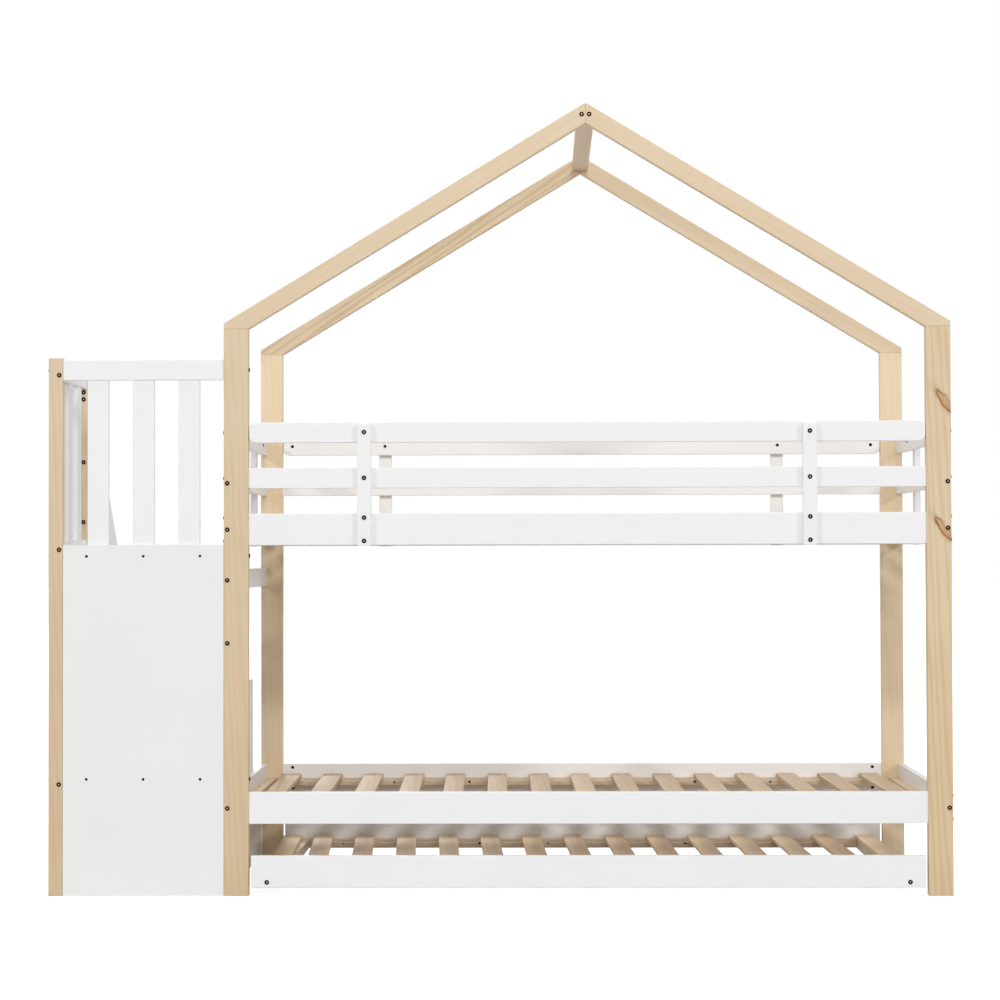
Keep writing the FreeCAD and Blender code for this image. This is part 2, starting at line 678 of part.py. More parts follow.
for way in (-1, 1):
    place = ("bed_mid_x + %d * trundle_rail_x" % way, "0", "trundle_rail_level")
    body = board(
        "trundle_end_rail", "y", place, "rail_spacing", "trundle_rail_width", "trundle_rail_depth"
    )
    drill(body, "XZ", [("0", "0", "bolt_hole")], 1, "rail_spacing", "bite_hole", True)
    far = "rail_spacing / 2 - nut_inset"
    drill(
        body,
        "XY",
        [("0", far, "nut_hole"), ("0", "-(%s)" % far, "nut_hole")],
        -1,
        "trundle_rail_depth",
        "trundle_rail_depth / 2 + nut_length / 2",
    )
    for side in (-1, 1):
        spot = (place[0], "%d * (%s)" % (side, far), "trundle_rail_level")
        TRUNDLE_NUTS.append((spot, (0, 1, 0), (0, 0, 1)))
    end_rails.append(body)
node("trundle_end_rails", end_rails)
ledgers = []
level = "trundle_slat_top - slat_thickness - ledger_height / 2"
for side in (-1, 1):
    place = ("bed_mid_x", "%d * ledger_y" % side, level)
    body = board("trundle_ledger", "x", place, inner, "ledger_width", "ledger_height")
    holes = []
    for number in range(SCREW_COUNT):
        spot = screw_spot(number, inner)
        holes.append((spot, "0", "screw_hole"))
        head = ("bed_mid_x + " + spot, "%d * (ledger_y - ledger_width / 2)" % side, level)
        TRUNDLE_SCREWS.append((head, (0, side, 0), "ledger_width"))
    drill(body, "XZ", holes)
    ledgers.append(body)
node("trundle_ledgers", ledgers)

# Casters: a folded steel bracket, a riveted axle and a wheel that turns on it
brackets = []
axles = []
for edge, side in (("near", -1), ("far", 1)):
    for end, way in (("left", -1), ("right", 1)):
        at_x = "bed_mid_x + %d * trundle_rail_x" % way
        at_y = "%d * caster_y" % side
        body = new_body("caster_bracket", (at_x, at_y, "caster_height - caster_plate / 2"))
        sketch = new_sketch(body, "XY")
        rounded_outline(sketch, "caster_plate_length", "caster_plate_width", "wheel_crown")
        pad(body, sketch, "caster_plate")
        middle = "wheel_half_gap + caster_plate / 2"
        for cheek in (-1, 1):
            sketch = new_sketch(body, "YZ", "%d * (%s)" % (cheek, middle))
            top = "0"
            low = "wheel_diameter / 2 - cheek_width / 2 - caster_height + caster_plate / 2"
            half = "cheek_width / 2"
            polygon_outline(
                sketch, (("-" + half, top), ("-" + half, low), (half, low), (half, top))
            )
            pad(body, sketch, "caster_plate")
        drop = "wheel_diameter / 2 - caster_height + caster_plate / 2"
        drill(body, "YZ", [("0", drop, "axle_diameter")])
        brackets.append(body)
        outer = "wheel_half_gap + caster_plate"
        axle = new_body("caster_axle", (at_x, at_y, "wheel_diameter / 2"))
        sketch = new_sketch(axle, "XZ")
        tip = "%s + axle_head_thickness" % outer
        polygon_outline(
            sketch,
            (
                ("-(%s)" % tip, "0"),
                (tip, "0"),
                (tip, "axle_head / 2"),
                (outer, "axle_head / 2"),
                (outer, "axle_diameter / 2"),
                ("-(%s)" % outer, "axle_diameter / 2"),
                ("-(%s)" % outer, "axle_head / 2"),
                ("-(%s)" % tip, "axle_head / 2"),
            ),
        )
        spin = axle.newObject("PartDesign::Revolution", "axle_turn")
        spin.Profile = sketch
        spin.ReferenceAxis = (sketch, ["H_Axis"])
        axles.append(axle)
        label = "%s_%s_wheel" % (edge, end)
        wheel = new_body(label, (at_x, at_y, "wheel_diameter / 2"))
        sketch = new_sketch(wheel, "XZ")
        bore = "axle_diameter / 2 + axle_gap"
        rim = "wheel_diameter / 2"
        half = "wheel_width / 2"
        polygon_outline(
            sketch,
            (
                ("-" + half, bore),
                (half, bore),
                (half, rim + " - wheel_crown"),
                (half + " - wheel_crown", rim),
                ("wheel_crown - " + half, rim),
                ("-" + half, rim + " - wheel_crown"),
            ),
        )
        spin = wheel.newObject("PartDesign::Revolution", "wheel_turn")
        spin.Profile = sketch
        spin.ReferenceAxis = (sketch, ["H_Axis"])
        node(label, [wheel])
node("caster_brackets", brackets + axles)

# Stair posts
for label, mid_y, tall, front, back in (
    (
        "stair_front_post",
        "-post_y",
        "stair_post_height",
        ("stair_rail_level - guard_bolt_drop", "stair_side_level", "stair_foot_level"),
        (),
    ),
    (
        "stair_middle_post",
        "middle_post_y",
        "stair_post_height",
        (
            "handrail_level",
            "handrail_level - handrail_bolt_gap",
            "slope_middle_level",
            "slope_low_level",
        ),
        (),
    ),
    (
        "stair_rear_post",
        "post_y",
        "newel_height",
        (),
        (
            "handrail_level - slope_fall",
            "handrail_level - slope_fall - handrail_bolt_gap",
            "slope_middle_level - slope_fall",
            "slope_low_level - slope_fall",
        ),
    ),
):
    place = ("stair_post_x", mid_y, tall + " / 2")
    body = board(label, "z", place, tall, "stair_post_width", "post_depth")
    offset = "side_rail_x - stair_post_x"
    holes = [(offset, z + " - %s / 2" % tall, "bolt_hole") for z in front + back]
    drill(body, "XZ", holes)
    for z in front:
        SHORT_BOLTS.append((("side_rail_x", mid_y + " - post_depth / 2", z), (0, 1, 0)))
    for z in back:
        SHORT_BOLTS.append((("side_rail_x", mid_y + " + post_depth / 2", z), (0, -1, 0)))
    if label == "stair_front_post":
        across = []
        for level, set_back in STAIR_LEVELS:
            shift = "0" if set_back == "0" else "cross_rail_setback"
            across.append((shift, level + " - %s / 2" % tall, "bolt_hole"))
            line = "-post_y" if set_back == "0" else "cross_y"
            head = ("stair_post_x - stair_post_width / 2", line, level)
            SHORT_BOLTS.append((head, (1, 0, 0)))
            LONG_BOLTS.append((("left_x + post_width", line, level), (-1, 0, 0)))
        drill(body, "YZ", across)
    node(label, [body])

# Rails between the front stair post and the bed, and the back panel on them
cross = []
for label, level, line in (
    ("stair_top_rail", "stair_rail_level", "-post_y"),
    ("stair_cross_upper", "cross_rail_level", "cross_y"),
    ("stair_cross_lower", "cross_foot_level", "cross_y"),
):
    body = board(
        label,
        "x",
        ("stair_rail_x", line, level),
        "stair_rail_length",
        "rail_thickness",
        "guard_rail_height",
    )
    drill(body, "YZ", [("0", "0", "bolt_hole")], 1, "stair_rail_length", "bite_hole", True)
    far = "stair_rail_length / 2 - nut_inset"
    holes = [(far, "0", "nut_hole"), ("-(%s)" % far, "0", "nut_hole")]
    drill(body, "XZ", holes, -1, "rail_thickness", "nut_depth")
    for way in (-1, 1):
        spot = ("stair_rail_x + %d * (%s)" % (way, far), line, level)
        NUTS.append((spot, (1, 0, 0), (0, 1, 0)))
    if label == "stair_top_rail":
        node(label, [body])
    else:
        screw_spots = [("%d * panel_screw_pitch" % n, "0", "screw_hole") for n in (-1, 0, 1)]
        drill(body, "XZ", screw_spots)
        cross.append(body)
node("stair_cross_rails", cross)
panel_y = "cross_y - rail_face - panel_thickness / 2"
panel = board(
    "stair_back_panel",
    "z",
    ("stair_rail_x", panel_y, "panel_floor_gap + panel_height / 2"),
    "panel_height",
    "stair_rail_length - 2 * panel_side_gap",
    "panel_thickness",
    "panel_floor_gap",
    None,
)
holes = []
for level in ("cross_rail_level", "cross_foot_level"):
    for n in (-1, 0, 1):
        spot = "%d * panel_screw_pitch" % n
        height = level + " - panel_floor_gap - panel_height / 2"
        holes.append((spot, height, "screw_hole"))
        head = ("stair_rail_x + " + spot, panel_y + " - panel_thickness / 2", level)
        SCREWS.append((head, (0, 1, 0), "panel_thickness"))
drill(panel, "XZ", holes)
node("stair_back_panel", [panel])

# Side rails of the landing guard, and all balusters
side_rails = []
for label, level, drop in (
    ("stair_side_top", "stair_rail_level", "-guard_bolt_drop"),
    ("stair_side_low", "stair_side_level", "0"),
    ("stair_side_foot", "stair_foot_level", "0"),
):
    body = board(
        label,
        "y",
        ("side_rail_x", "side_y", level),
        "side_length",
        "rail_thickness",
        "guard_rail_height",
    )
    drill(body, "XZ", [("0", drop, "bolt_hole")], 1, "side_length", "bite_hole")
    side_rails.append(body)
node("stair_side_rails", side_rails)
balusters = []
foot = "cross_rail_level + guard_rail_height / 2"
head = "stair_rail_level - guard_rail_height / 2"
gap = "(stair_rail_length - 3 * baluster_width) / 4"
for n in (-1, 0, 1):
    place = (
        "stair_rail_x + %d * (baluster_width + %s)" % (n, gap),
        "cross_y - rail_face + baluster_thickness / 2",
        "(%s + %s) / 2" % (foot, head),
    )
    balusters.append(
        board(
            "front_baluster",
            "z",
            place,
            "%s - (%s)" % (head, foot),
            "baluster_width",
            "baluster_thickness",
        )
    )
foot = "stair_side_level + guard_rail_height / 2"
gap = "(side_length - 2 * baluster_width) / 3"
for n in (-1, 1):
    place = (
        "side_rail_x",
        "side_y + %d * (baluster_width + %s) / 2" % (n, gap),
        "(%s + %s) / 2" % (foot, head),
    )
    balusters.append(
        board(
            "side_baluster",
            "z",
            place,
            "%s - (%s)" % (head, foot),
            "baluster_thickness",
            "baluster_width",
        )
    )
node("stair_balusters", balusters)

# Handrail board and the two rails that slope with it
slopes = []
for label, level, half, pairs in (
    (
        "stair_handrail",
        "handrail_level",
        "handrail_half",
        ("handrail_level", "handrail_level - handrail_bolt_gap"),
    ),
    ("slope_middle", "slope_middle_level", "slope_half", ("slope_middle_level",)),
    ("slope_low", "slope_low_level", "slope_half", ("slope_low_level",)),
):
    body = new_body(label, ("side_rail_x", "0", "0"))
    sketch = new_sketch(body, "YZ")
    polygon_outline(
        sketch,
        (
            ("slope_start", "%s - %s" % (level, half)),
            ("slope_end", "%s - slope_fall - %s" % (level, half)),
            ("slope_end", "%s - slope_fall + %s" % (level, half)),
            ("slope_start", "%s + %s" % (level, half)),
        ),
    )
    ease_edges(body, pad(body, sketch, "rail_thickness"), "edge_ease")
    start_holes = [("0", z, "bolt_hole") for z in pairs]
    drill(body, "XZ", start_holes, 1, "-2 * slope_start", "bite_hole")
    end_holes = [("0", z + " - slope_fall", "bolt_hole") for z in pairs]
    drill(body, "XZ", end_holes, 1, "2 * (bite_hole - slope_end)", "bite_hole")
    slopes.append(body)
node("stair_handrail", slopes[:1])
node("stair_sloping_rails", slopes[1:])

# Stepped side panels with the treads between them
STEP_FRONT = "post_depth - depth_half"
STEP_EDGES = (
    "landing_depth - depth_half",
    "landing_depth + step_going - depth_half",
    "depth_half - post_depth",
)
panels = []
for label, at_x in (
    ("left_side_panel", "stair_post_x + stair_post_width / 2 + side_panel_thickness / 2"),
    ("right_side_panel", "left_x - side_panel_thickness / 2"),
):
    body = new_body(label, (at_x, "0", "0"))
    sketch = new_sketch(body, "YZ")
    polygon_outline(
        sketch,
        (
            (STEP_FRONT, "0"),
            (STEP_EDGES[2], "0"),
            (STEP_EDGES[2], "step_rise"),
            (STEP_EDGES[1], "step_rise"),
            (STEP_EDGES[1], "2 * step_rise"),
            (STEP_EDGES[0], "2 * step_rise"),
            (STEP_EDGES[0], "3 * step_rise"),
            (STEP_FRONT, "3 * step_rise"),
        ),
    )
    pad(body, sketch, "side_panel_thickness")
    panels.append(body)
node("stair_side_panels", panels)
treads = []
tread_width = "stair_rail_length - 2 * side_panel_thickness"
for step, (near, far) in enumerate(
    ((STEP_EDGES[1], STEP_EDGES[2]), (STEP_EDGES[0], STEP_EDGES[1]), (STEP_FRONT, STEP_EDGES[0])),
    start=1,
):
    place = (
        "stair_rail_x",
        "(%s + %s) / 2" % (near, far),
        "%d * step_rise - tread_thickness / 2" % step,
    )
    treads.append(
        board("tread", "x", place, tread_width, "%s - (%s)" % (far, near), "tread_thickness")
    )
node("stair_treads", treads)

doc.recompute()

# Shape of the fastener heads as shares of their own size
rim_share = 0.45
shoulder_share = 0.82
shoulder_radius_share = 0.78
flat_share = 0.5
taper_share = 0.8


def bolt_shape(shank):
    """Button head bolt along -Z, its head seat at zero, with a hexagon socket."""
    head = value("bolt_head") / 2
    rise = value("bolt_head_height")
    thick = value("bolt_diameter") / 2
    rim = V(head, 0, rise * rim_share)
    shoulder = V(head * shoulder_radius_share, 0, rise * shoulder_share)
    flat = V(head * flat_share, 0, rise)
    dome = Part.Arc(rim, shoulder, flat)
    edges = [
        Part.LineSegment(V(0, 0, -shank), V(thick, 0, -shank)),
        Part.LineSegment(V(thick, 0, -shank), V(thick, 0, 0)),
        Part.LineSegment(V(thick, 0, 0), V(head, 0, 0)),
        Part.LineSegment(V(head, 0, 0), rim),
        dome,
        Part.LineSegment(flat, V(0, 0, rise)),
        Part.LineSegment(V(0, 0, rise), V(0, 0, -shank)),
    ]
    profile = Part.Face(Part.Wire([edge.toShape() for edge in edges]))
    bolt = profile.revolve(V(0, 0, 0), V(0, 0, 1), 360)
    reach = value("bolt_socket") / math.sqrt(3)
    corners = [
        V(reach * math.cos(math.radians(60 * i)), reach * math.sin(math.radians(60 * i)), rise)
        for i in range(7)
    ]
    socket = Part.Face(Part.makePolygon(corners))
    return bolt.cut(socket.extrude(V(0, 0, -value("bolt_socket_depth"))))


def screw_shape(shank):
    """Flat head wood screw along -Z with a tapered tip."""
    head = value("screw_head") / 2
    rise = value("screw_head_height")
    thick = value("screw_diameter") / 2
    points = [
        V(0, 0, -shank),
        V(thick, 0, -shank + 2 * thick),
        V(thick, 0, 0),
        V(head, 0, 0),
        V(head * taper_share, 0, rise),
        V(0, 0, rise),
        V(0, 0, -shank),
    ]
    return Part.Face(Part.makePolygon(points)).revolve(V(0, 0, 0), V(0, 0, 1), 360)


def nut_shape():
    """Barrel nut: a short bar along Z with a cross bore along X."""
    wide = value("nut_diameter") / 2
    tall = value("nut_length")
    bar = Part.makeCylinder(wide, tall, V(0, 0, -tall / 2))
    bore = Part.makeCylinder(value("bolt_hole") / 2, 4 * wide, V(-2 * wide, 0, 0), V(1, 0, 0))
    return bar.cut(bore)


def cap_shape(shank):
    """Nut on the inner end of a strap bolt."""
    wide = value("cap_diameter") / 2
    tall = value("cap_thickness")
    ring = Part.makeCylinder(wide, tall, V(0, 0, -shank - tall))
    return ring.cut(Part.makeCylinder(value("bolt_hole") / 2, 4 * tall, V(0, 0, -shank - 2 * tall)))


def placed(shape, at, heading):
    """Copy of a fastener with its -Z along a heading."""
    copy = shape.copy()
    copy.Placement = FreeCAD.Placement(
        V(*[value(text) for text in at]), FreeCAD.Rotation(V(0, 0, -1), V(*heading))
    )
    return copy


def group(name, shapes):
    """Node made of separate placed fasteners."""
    made = doc.addObject("Part::Feature", name + "_group")
    made.Shape = Part.makeCompound(shapes)
    made.Label = name
    NODES[name] = made


# Fasteners, each kind one group
long_bolt = bolt_shape(value("post_width + bolt_bite"))
group("long_bolts", [placed(long_bolt, at, way) for at, way in LONG_BOLTS])
short_bolt = bolt_shape(value("post_depth + bolt_bite"))
group("short_bolts", [placed(short_bolt, at, way) for at, way in SHORT_BOLTS])
reach = value("strap_thickness + rail_thickness")
strap_bolt = bolt_shape(reach + value("cap_thickness"))
cap = cap_shape(reach)
strap_set = [placed(strap_bolt, at, way) for at, way in STRAP_BOLTS]
strap_set += [placed(cap, at, way) for at, way in STRAP_BOLTS]
group("strap_bolts", strap_set)
screws = []
for at, way, through in SCREWS:
    screws.append(placed(screw_shape(value(through + " + screw_bite")), at, way))
group("wood_screws", screws)
screws = []
for at, way, through in TRUNDLE_SCREWS:
    screws.append(placed(screw_shape(value(through + " + screw_bite")), at, way))
group("trundle_screws", screws)


def nut_set(spots):
    """Barrel nuts turned so that the bore meets the bolt."""
    nut = nut_shape()
    made = []
    for at, bore, length in spots:
        copy = nut.copy()
        turn = FreeCAD.Rotation(V(*bore), V(0, 0, 0), V(*length), "ZXY")
        copy.Placement = FreeCAD.Placement(V(*[value(text) for text in at]), turn)
        made.append(copy)
    return made


group("barrel_nuts", nut_set(NUTS))
trundle_bolt = bolt_shape(value("rail_thickness + bolt_bite"))
trundle_set = [placed(trundle_bolt, at, way) for at, way in TRUNDLE_BOLTS]
group("trundle_bolts", trundle_set + nut_set(TRUNDLE_NUTS))

# Check every object, then write one file per node
doc.recompute()
for item in doc.Objects:
    if "Invalid" in item.State or "Error" in item.State or "Touched" in item.State:
        raise RuntimeError("%s: %s" % (item.Label, item.State))
for name, item in NODES.items():
    shape = item.Shape
    if shape.isNull() or not shape.isValid() or not shape.Solids:
        raise RuntimeError("bad shape in " + name)
    shape.exportStep("parts/%s.step" % name)
    print(name, len(shape.Solids), [round(v, 1) for v in (shape.BoundBox.XLength,)])
print(len(NODES), "nodes")
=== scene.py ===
import math

import bpy
from mathutils import Matrix, Vector


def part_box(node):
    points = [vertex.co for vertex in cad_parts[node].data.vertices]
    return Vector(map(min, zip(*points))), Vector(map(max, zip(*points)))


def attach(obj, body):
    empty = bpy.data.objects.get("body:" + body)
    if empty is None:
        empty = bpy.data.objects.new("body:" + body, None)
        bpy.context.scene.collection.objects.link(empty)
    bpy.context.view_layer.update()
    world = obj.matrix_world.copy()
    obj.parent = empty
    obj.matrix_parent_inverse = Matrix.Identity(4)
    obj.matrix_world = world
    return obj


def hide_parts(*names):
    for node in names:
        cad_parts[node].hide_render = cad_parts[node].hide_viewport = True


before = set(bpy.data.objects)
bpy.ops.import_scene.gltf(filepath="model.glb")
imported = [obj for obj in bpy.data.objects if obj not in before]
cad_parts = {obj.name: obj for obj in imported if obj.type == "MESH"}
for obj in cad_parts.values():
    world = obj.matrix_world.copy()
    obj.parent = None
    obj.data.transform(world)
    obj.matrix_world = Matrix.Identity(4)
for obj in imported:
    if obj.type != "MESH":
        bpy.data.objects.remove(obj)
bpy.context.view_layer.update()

# Bed posts
# Four planed pine posts with a clear matt lacquer carry the whole bed.
# The grain runs up each post, and the near right post shows two amber knots with a brown rim.
black = (0, 0, 0)
white = (1, 1, 1)
fibre_weight = 0.3
drift_weight = 0.5
even_share = -0.1
# Height up to which the painted shade at a post's foot reaches
foot_shade_top = 1.4
knot_amber = (0.50, 0.235, 0.07)
knot_bark = (0.23, 0.085, 0.025)
knot_wobble = 0.014


def begin_finish(name):
    """New material with its node maker, its link maker, its shader and its object coordinates."""
    finish = bpy.data.materials.new(name)
    finish.use_nodes = True
    nodes = finish.node_tree.nodes
    place = nodes.new("ShaderNodeTexCoord").outputs["Object"]
    return finish, nodes.new, finish.node_tree.links.new, nodes["Principled BSDF"], place


def feed(link, socket, source):
    """Link a socket to another one, or set it to a plain value."""
    if isinstance(source, bpy.types.NodeSocket):
        link(source, socket)
    else:
        socket.default_value = source


def mapped(make, link, vector, kind="POINT", **settings):
    """Vector moved, turned or scaled by a Mapping node."""
    node = make("ShaderNodeMapping")
    node.vector_type = kind
    for label, value in settings.items():
        node.inputs[label].default_value = value
    link(vector, node.inputs["Vector"])
    return node.outputs["Vector"]


def noise(make, link, vector, scale, detail):
    """Outputs of a noise texture on a vector."""
    node = make("ShaderNodeTexNoise")
    node.inputs["Scale"].default_value = scale
    node.inputs["Detail"].default_value = detail
    link(vector, node.inputs["Vector"])
    return node.outputs


def spread(make, link, value, low, high, start=0.0, stop=1.0):
    """Value brought from the range start to stop into the range low to high."""
    node = make("ShaderNodeMapRange")
    for label, limit in (("From Min", start), ("From Max", stop), ("To Min", low), ("To Max", high)):
        node.inputs[label].default_value = limit
    link(value, node.inputs["Value"])
    return node.outputs["Result"]


def ramp(make, link, value, *stops):
    """Colour ramp through stops, each a position and a colour."""
    node = make("ShaderNodeValToRGB")
    elements = node.color_ramp.elements
    for number, (position, colour) in enumerate((stops[0], stops[-1])):
        elements[number].position = position
        elements[number].color = (*colour, 1)
    for position, colour in stops[1:-1]:
        elements.new(position).color = (*colour, 1)
    link(value, node.inputs["Fac"])
    return node.outputs["Color"]


def worked(make, link, operation, *sources, clamp=False):
    """Result of a Math node on sockets or plain numbers."""
    node = make("ShaderNodeMath")
    node.operation = operation
    node.use_clamp = clamp
    for socket, source in zip(node.inputs, sources):
        feed(link, socket, source)
    return node.outputs["Value"]


def mixed(make, link, share, first, second, kind="MIX"):
    """Two colours mixed by a share, each a socket or a plain colour."""
    node = make("ShaderNodeMix")
    node.data_type = "RGBA"
    node.blend_type = kind
    for label, source in (("Factor", share), ("A", first), ("B", second)):
        feed(link, node.inputs[label], source)
    return node.outputs["Result"]


def part_of(make, link, vector, axis):
    """One coordinate of a vector."""
    node = make("ShaderNodeSeparateXYZ")
    link(vector, node.inputs["Vector"])
    return node.outputs[axis]


def raise_grain(make, link, shader, height, strength, depth):
    """Faint relief of the grain in a finish."""
    relief = make("ShaderNodeBump")
    relief.inputs["Strength"].default_value = strength
    relief.inputs["Distance"].default_value = depth
    link(height, relief.inputs["Height"])
    link(relief.outputs["Normal"], shader.inputs["Normal"])


def with_knot(make, link, place, wood, x, z, half_width, half_length, slant):
    """Wood with a spike knot: a slanting amber streak inside a brown bark line."""
    bend = make("ShaderNodeVectorMath")
    bend.operation = "MULTIPLY_ADD"
    link(noise(make, link, place, scale=38, detail=3)["Color"], bend.inputs[0])
    bend.inputs[1].default_value = (knot_wobble, 0, knot_wobble)
    link(place, bend.inputs[2])
    # Far deeper than the post, so that the knot goes right through it
    half_depth = 100
    streak = mapped(
        make,
        link,
        bend.outputs["Vector"],
        "TEXTURE",
        Location=(x + knot_wobble / 2, 0, z + knot_wobble / 2),
        Rotation=(0, slant, 0),
        Scale=(half_width, half_depth, half_length),
    )
    length = make("ShaderNodeVectorMath")
    length.operation = "LENGTH"
    link(streak, length.inputs[0])
    reach = length.outputs["Value"]
    # Strength of the stain by the distance from the knot's middle, where 1 is its outer edge
    strengths = ((0.0, 0.60), (0.34, 0.72), (0.45, 0.95), (0.58, 0.20), (1.0, 0.0))
    rim = ramp(make, link, reach, *((distance, (level,) * 3) for distance, level in strengths))
    resin = ramp(make, link, reach, (0.34, knot_amber), (0.46, knot_bark))

    # Fibres streak the knot lengthways, and one long edge is more strongly stained than the other
    streaks = noise(make, link, mapped(make, link, streak, Scale=(7, 0, 1.1)), scale=1, detail=3)
    streak_tone = spread(make, link, streaks["Fac"], low=0.6, high=1.4, start=0.35, stop=0.65)
    across = part_of(make, link, streak, "X")
    edge_tone = spread(make, link, across, low=1.3, high=0.7, start=-0.5, stop=0.5)
    toned = worked(make, link, "MULTIPLY", streak_tone, edge_tone)
    stain_share = worked(make, link, "MULTIPLY", rim, toned, clamp=True)
    return mixed(make, link, stain_share, wood, resin)


def lacquered_pine(
    name,
    turn=(0, 0, 0),
    pale=(0.775, 0.63, 0.455),
    deep=(0.675, 0.51, 0.325),
    ring_share=0.15,
    foot_shade_share=0.0,
    knots=(),
):
    """Clear lacquered pine whose grain runs along the axis that turn brings to Z."""
    finish, make, link, shader, place = begin_finish(name)
    along = mapped(make, link, place, Rotation=turn)

    # Growth rings, drawn out along the board
    rings = make("ShaderNodeTexWave")
    rings.bands_direction = "DIAGONAL"
    for label, value in (("Scale", 30), ("Distortion", 6), ("Detail", 2.5), ("Detail Scale", 0.9)):
        rings.inputs[label].default_value = value
    link(mapped(make, link, along, Scale=(1, 1, 0.055)), rings.inputs["Vector"])
    ring_tone = ramp(make, link, rings.outputs["Fac"], (0.45, black), (0.95, white))

    # Fine fibres, slow drifts of tone and, on some posts, painted shade that darkens the wood towards the
    # foot, where less light falls
    fibres = noise(make, link, mapped(make, link, along, Scale=(120, 120, 2.5)), scale=1, detail=3)["Fac"]
    drift = noise(make, link, along, scale=3.5, detail=2)["Fac"]
    fibre_share = worked(make, link, "MULTIPLY_ADD", fibres, fibre_weight, even_share)
    drift_share = worked(make, link, "MULTIPLY_ADD", drift, drift_weight, fibre_share)
    height = part_of(make, link, place, "Z")
    foot_shade = spread(make, link, height, low=foot_shade_share, high=0.0, stop=foot_shade_top)
    drift_and_foot_shade = worked(make, link, "ADD", foot_shade, drift_share)
    share = worked(make, link, "MULTIPLY_ADD", ring_tone, ring_share, drift_and_foot_shade, clamp=True)
    wood = mixed(make, link, share, (*pale, 1), (*deep, 1))
    for knot in knots:
        wood = with_knot(make, link, place, wood, **knot)
    link(wood, shader.inputs["Base Color"])
    link(spread(make, link, fibres, low=0.46, high=0.62), shader.inputs["Roughness"])
    raise_grain(make, link, shader, fibres, strength=0.05, depth=0.0006)
    shader.inputs["Specular IOR Level"].default_value = 0.35
    return finish


def dress(finish, *node_names):
    """Give CAD nodes a finish."""
    for node_name in node_names:
        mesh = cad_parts[node_name].data
        mesh.materials.clear()
        mesh.materials.append(finish)


# Painted shade: these finishes darken the posts towards the foot, where less light reaches
post_pine = lacquered_pine("post_pine", deep=(0.60, 0.445, 0.255), foot_shade_share=0.45)
right_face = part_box("front_right_post")[1].x
right_post_pine = lacquered_pine(
    "right_post_pine",
    pale=(0.78, 0.64, 0.44),
    deep=(0.62, 0.44, 0.25),
    ring_share=0.32,
    foot_shade_share=0.25,
    knots=(
        dict(x=right_face - 0.018, z=1.400, half_width=0.021, half_length=0.080, slant=math.radians(-35)),
        dict(x=right_face - 0.021, z=1.036, half_width=0.019, half_length=0.084, slant=math.radians(-36)),
    ),
)
# Painted light: the rear posts get a paler copy of the post pine, which lifts them out of the shade they
# stand in
rear_post_pine_painted_light = lacquered_pine("rear_post_pine_painted_light", pale=(0.85, 0.70, 0.50), deep=(0.72, 0.545, 0.335))
dress(post_pine, "front_left_post")
dress(right_post_pine, "front_right_post")
dress(rear_post_pine_painted_light, "rear_left_post", "rear_right_post")

# Roof
# Two pairs of pine rafters sit on the posts and meet at the ridge in a plumb mitre.
# A flat pine bar joins the pairs and is bolted through the rafters.
rafter_low, rafter_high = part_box("front_left_rafter")
rafter_cut = 0.016
roof_rise = math.atan2(rafter_high.z - rafter_low.z - rafter_cut, rafter_high.x - rafter_low.x)
up_to_right = (0, roof_rise - math.pi / 2, 0)
up_to_left = (0, math.pi / 2 - roof_rise, 0)
along_y = (math.pi / 2, 0, 0)
left_rafter_pine = lacquered_pine("left_rafter_pine", up_to_right)
right_rafter_pine = lacquered_pine("right_rafter_pine", up_to_left)
ridge_pine = lacquered_pine("ridge_pine", along_y)
figured_pine = lacquered_pine("figured_pine", up_to_right, deep=(0.58, 0.42, 0.24), ring_share=0.5)
dress(left_rafter_pine, "front_left_rafter")
dress(figured_pine, "rear_left_rafter")
dress(right_rafter_pine, "front_right_rafter", "rear_right_rafter")
dress(ridge_pine, "ridge_bar")

# Bed and guard rails
# Planed pine boards sprayed with white satin paint, bolted between the posts.
# The grain shows through the paint only as a faint relief.
paint_white = (0.90, 0.90, 0.905)
cloud_shade = (0.955, 0.952, 0.945)


def satin_paint(name, turn=(0, 0, 0), tone=paint_white, grain=0.10):
    """White satin paint over wood whose grain runs along the axis that turn brings to Z."""
    finish, make, link, shader, place = begin_finish(name)
    along = mapped(make, link, place, Rotation=turn)
    grain_lines = noise(make, link, mapped(make, link, along, Scale=(160, 160, 6)), scale=1, detail=4)
    cloud = noise(make, link, place, scale=4, detail=3)["Fac"]
    dull = [part * share for part, share in zip(tone, cloud_shade)]
    link(mixed(make, link, cloud, (*tone, 1), (*dull, 1)), shader.inputs["Base Color"])
    link(spread(make, link, cloud, low=0.34, high=0.48), shader.inputs["Roughness"])
    raise_grain(make, link, shader, grain_lines["Fac"], strength=grain, depth=0.0005)
    return finish


along_x = (0, math.pi / 2, 0)
long_rail_paint = satin_paint("long_rail_paint", along_x)
end_rail_paint = satin_paint("end_rail_paint", along_y)
for rail_paint, sides in ((long_rail_paint, ("front", "rear")), (end_rail_paint, ("left", "right"))):
    for side in sides:
        for rail in ("top_rail", "middle_rail", "bed_rail", "lower_rail"):
            dress(rail_paint, side + "_" + rail)
dress(end_rail_paint, "stair_tie_rails")

# Guard straps
# Short white uprights of painted pine, bolted over the guard rails and the bed rail,
# so that the three rails of each side act as one fence.
strap_paint = satin_paint("strap_paint")
dress(strap_paint, "guard_straps")

# Slats and ledgers
# Unfinished pine slats with eased edges lie loose on pine ledgers screwed to the rails.
# Each slat has its own tone, and the lower rows have slipped a little askew.
slat_width = 0.060
slat_pitch = 0.132
slat_eased_edge = 0.002
slat_edge_steps = 3
bunk_slats = 15
trundle_inner = 13
trundle_ends = 2
darkest_board = (0.86, 0.79, 0.71)
palest_board = (1.0, 1.0, 0.98)
